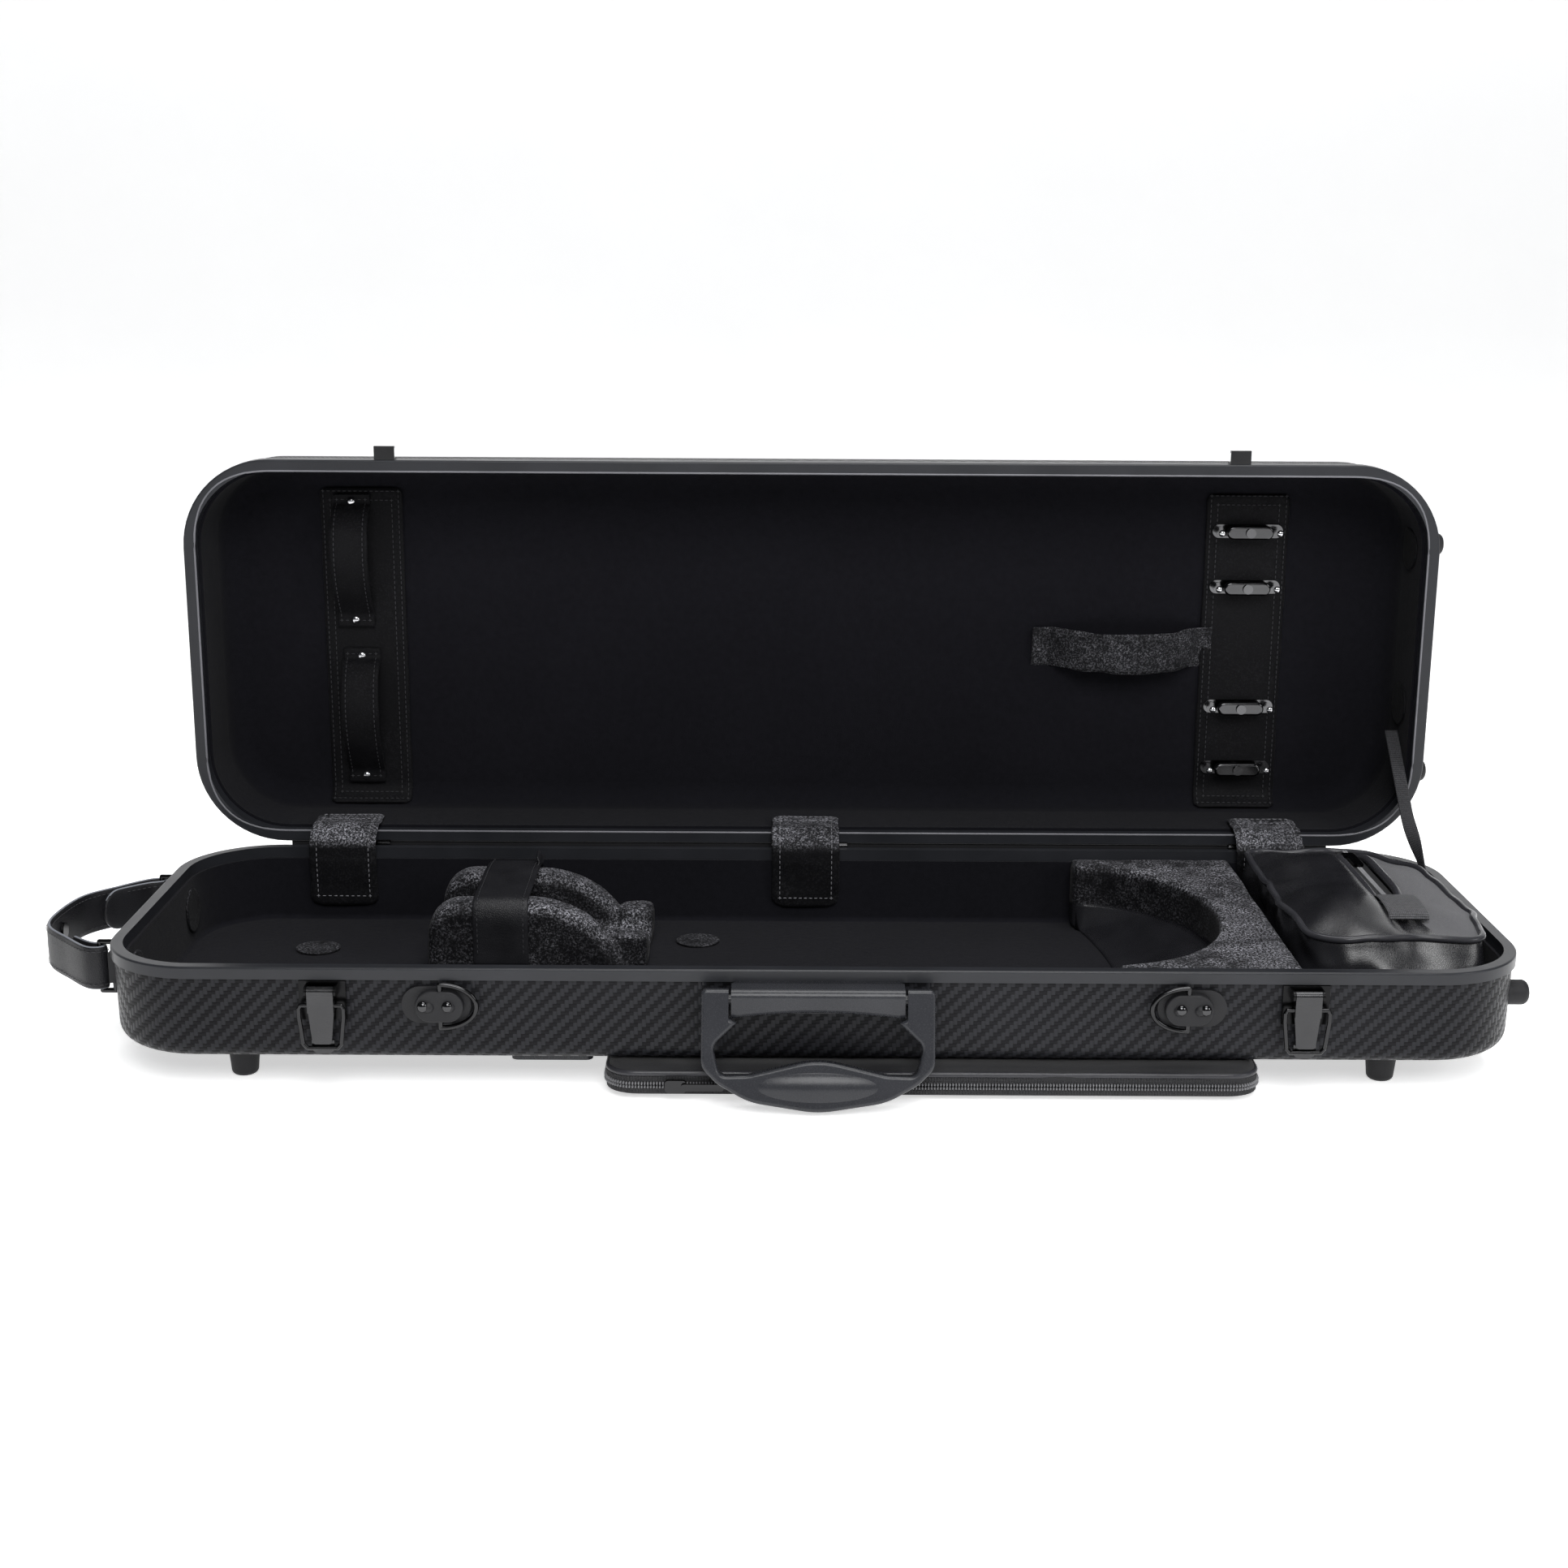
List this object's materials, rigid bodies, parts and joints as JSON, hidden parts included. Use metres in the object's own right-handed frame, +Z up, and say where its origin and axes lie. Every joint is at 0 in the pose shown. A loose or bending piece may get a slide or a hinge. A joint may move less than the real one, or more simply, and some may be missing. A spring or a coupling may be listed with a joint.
{
  "type": "violin case",
  "caption": "Open hard violin case: felt-lined tray and hinged lid with latches, handle, neck cradle, accessory bag, bow holders, carry rings, end strap and music pouch",
  "frame": {"origin": "centre of the open case's bounding box in X and Y, on the floor under the feet", "axes": "+X along the case's length toward the accessory bag, +Y from the front latches toward the hinges, +Z up"},
  "size_m": [0.8684, 0.3554, 0.3369],
  "materials": {
    "carbon_shell": "satin",
    "rim": "satin",
    "felt": "matte",
    "velvet": "matte",
    "leather": "satin",
    "leatherette": "gloss",
    "nylon": "matte",
    "webbing": "matte",
    "dark_metal": "gloss",
    "steel": "satin",
    "handle_plastic": "matte",
    "rubber": "matte",
    "zip_coil": "satin"
  },
  "bodies": {
    "base": {"accessory_bag": "leatherette", "bag_pull_tab": "webbing", "bag_zip": "zip_coil", "base_feet": "rubber", "base_lining": "felt", "base_rim": "rim", "base_shell": "carbon_shell", "end_block": "velvet", "end_feet_base": "rubber", "end_strap": "leather", "floor_patches": "velvet", "handle_mount": "handle_plastic", "hinge_leaves_base": "dark_metal", "latch_bracket_left": "dark_metal", "latch_bracket_right": "dark_metal", "neck_cradle": "velvet", "neck_strap": "leather", "pouch_clip": "webbing", "pouch_zip": "zip_coil", "ring_plate_left": "dark_metal", "ring_plate_right": "dark_metal", "sheet_pouch": "nylon", "strap_mounts": "dark_metal", "strap_ring_front": "dark_metal", "strap_ring_rear": "dark_metal", "strap_snap": "dark_metal", "wall_patches": "velvet"},
    "lid": {"bow_strip_left": "velvet", "bow_strip_right": "velvet", "end_feet_lid": "rubber", "hinge_cover_left": "velvet", "hinge_cover_middle": "velvet", "hinge_cover_right": "velvet", "hinge_leaves_lid": "dark_metal", "keeper_left": "dark_metal", "keeper_right": "dark_metal", "lid_lining": "felt", "lid_loop": "velvet", "lid_patches": "velvet", "lid_rim": "rim", "lid_shell": "carbon_shell", "spinner_plates": "dark_metal", "stay_strap": "webbing", "tip_loop_lower": "velvet", "tip_loop_upper": "velvet"},
    "bag_zip_slider": {"bag_slider": "dark_metal"},
    "toggle_1": {"bow_toggle_1": "dark_metal"},
    "toggle_2": {"bow_toggle_2": "dark_metal"},
    "toggle_3": {"bow_toggle_3": "dark_metal"},
    "toggle_4": {"bow_toggle_4": "dark_metal"},
    "ring_left": {"carry_ring_left": "dark_metal"},
    "ring_right": {"carry_ring_right": "dark_metal"},
    "handle": {"handle_grip": "handle_plastic"},
    "bail_left": {"latch_bail_left": "dark_metal"},
    "bail_right": {"latch_bail_right": "dark_metal"},
    "lever_left": {"latch_lever_left": "steel"},
    "lever_right": {"latch_lever_right": "steel"},
    "pouch_zip_slider": {"pouch_slider": "dark_metal"}
  },
  "joints": [
    {"name": "lid_hinge", "type": "hinge", "parent": "base", "child": "lid", "pos_m": [0.02165, 0.1052, 0.0755], "axis": [-1, 0, 0], "range_deg": [-90, 0], "deforming": ["hinge_cover_left", "hinge_cover_middle", "hinge_cover_right", "stay_strap"]},
    {"name": "latch_lever_left", "type": "hinge", "parent": "base", "child": "lever_left", "pos_m": [-0.25085, -0.1525, 0.063], "axis": [-1, 0, 0], "range_deg": [0, 170]},
    {"name": "latch_bail_left", "type": "hinge", "parent": "lever_left", "child": "bail_left", "pos_m": [-0.25085, -0.153, 0.055], "axis": [1, 0, 0], "range_deg": [-180, 0]},
    {"name": "latch_lever_right", "type": "hinge", "parent": "base", "child": "lever_right", "pos_m": [0.29415, -0.1525, 0.063], "axis": [-1, 0, 0], "range_deg": [0, 170]},
    {"name": "latch_bail_right", "type": "hinge", "parent": "lever_right", "child": "bail_right", "pos_m": [0.29415, -0.153, 0.055], "axis": [1, 0, 0], "range_deg": [-180, 0]},
    {"name": "handle_swing", "type": "hinge", "parent": "base", "child": "handle", "pos_m": [0.02355, -0.1565, 0.061], "axis": [-1, 0, 0], "range_deg": [0, 105]},
    {"name": "ring_swing_left", "type": "hinge", "parent": "base", "child": "ring_left", "pos_m": [-0.18535, -0.1507, 0.054], "axis": [0, 0, -1], "range_deg": [0, 110]},
    {"name": "ring_swing_right", "type": "hinge", "parent": "base", "child": "ring_right", "pos_m": [0.22865, -0.1507, 0.054], "axis": [0, 0, 1], "range_deg": [0, 110]},
    {"name": "bow_toggle_1_turn", "type": "hinge", "parent": "lid", "child": "toggle_1", "pos_m": [0.31365, 0.159, 0.116], "axis": [0, -1, 0], "range_deg": [-90, 90]},
    {"name": "bow_toggle_2_turn", "type": "hinge", "parent": "lid", "child": "toggle_2", "pos_m": [0.31365, 0.159, 0.1585], "axis": [0, -1, 0], "range_deg": [-90, 90]},
    {"name": "bow_toggle_3_turn", "type": "hinge", "parent": "lid", "child": "toggle_3", "pos_m": [0.31365, 0.159, 0.24049], "axis": [0, -1, 0], "range_deg": [-90, 90]},
    {"name": "bow_toggle_4_turn", "type": "hinge", "parent": "lid", "child": "toggle_4", "pos_m": [0.31365, 0.159, 0.27796], "axis": [0, -1, 0], "range_deg": [-90, 90]},
    {"name": "bag_zip_slide", "type": "slide", "parent": "base", "child": "bag_zip_slider", "axis": [0, -1, 0], "range_m": [0, 0.064]},
    {"name": "pouch_zip_slide", "type": "slide", "parent": "base", "child": "pouch_zip_slider", "axis": [1, 0, 0], "range_m": [0, 0.27]}
  ]
}
